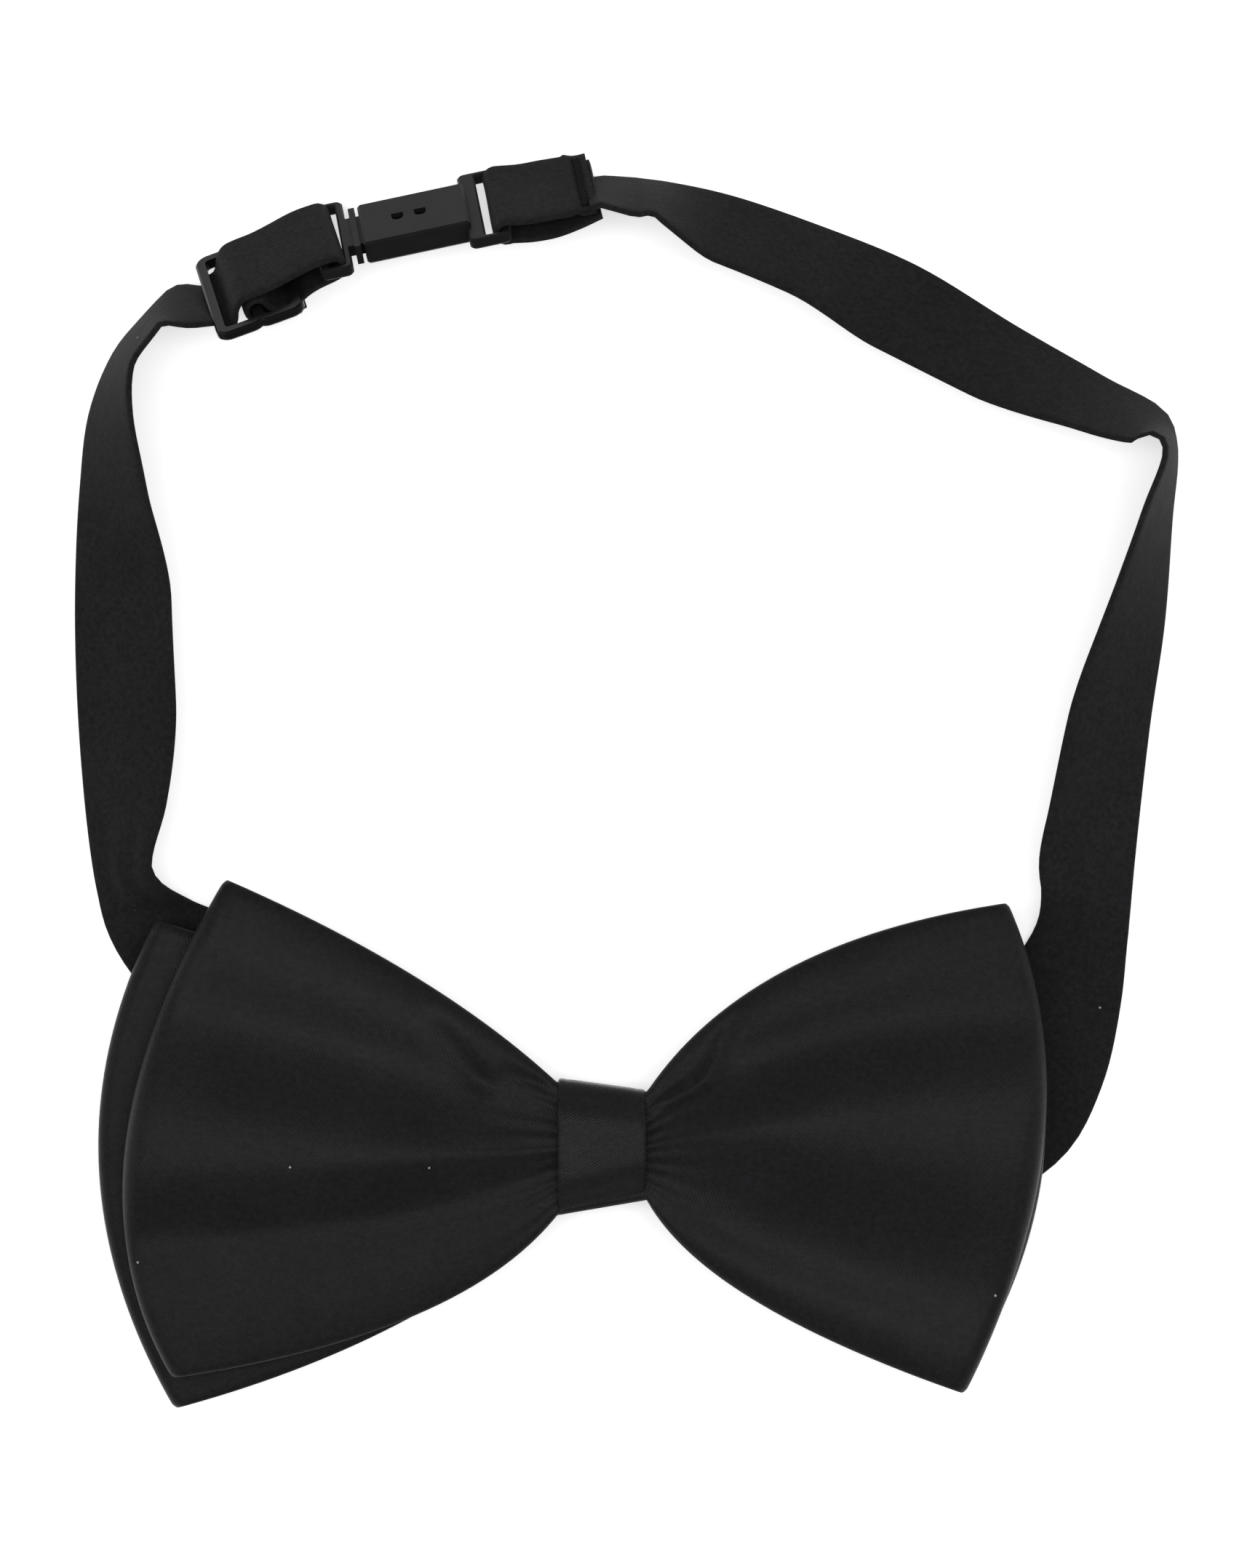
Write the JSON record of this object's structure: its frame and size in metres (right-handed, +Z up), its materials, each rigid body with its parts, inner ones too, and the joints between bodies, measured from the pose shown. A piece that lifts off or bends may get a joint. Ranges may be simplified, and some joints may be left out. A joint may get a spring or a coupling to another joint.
{
  "type": "bow tie",
  "caption": "Pre-tied satin bow tie with stacked butterfly bows, a pinched knot and an adjustable neck strap with a box-and-hook clasp.",
  "frame": {"origin": "on the surface that the tie lies on, under the centre of its outline", "axes": "+Z up out of the bow's front face, +X along the bow to the viewer's right, +Y from the bow towards the clasp"},
  "size_m": [0.1404, 0.1585, 0.0185],
  "materials": {
    "satin": "black polyester satin",
    "interlining": "pressed non-woven interlining",
    "thread": "black polyester sewing thread",
    "clasp_plastic": "moulded satin-finish acetal",
    "gloss_plastic": "glossy moulded nylon"
  },
  "bodies": {
    "root": {"front_bow_satin": "satin", "front_bow_interlining": "interlining", "back_bow_satin": "satin", "back_bow_interlining": "interlining", "knot_band": "satin", "centre_binding_thread": "thread", "band_closing_stitches": "thread", "neck_strap_left": "satin", "neck_strap_right": "satin", "adjuster_loop": "satin", "clasp_hook": "clasp_plastic"},
    "box_half": {"clasp_box": "clasp_plastic", "strap_end_tab": "satin", "tab_bar_tack": "thread"},
    "slider_body": {"slider": "gloss_plastic", "adjuster_bar_tack": "thread"}
  },
  "joints": [
    {"name": "clasp_release", "type": "slide", "parent": "root", "child": "box_half", "axis": [0.9781, 0.2079, 0], "range_m": [0, 0.012], "deforming": ["neck_strap_right"]},
    {"name": "adjuster_slide", "type": "hinge", "parent": "root", "child": "slider_body", "pos_m": [-0.03645, 0.03515, 0.0091], "axis": [0, 0, 1], "range_deg": [-3, 40], "deforming": ["neck_strap_left", "adjuster_loop"]}
  ]
}
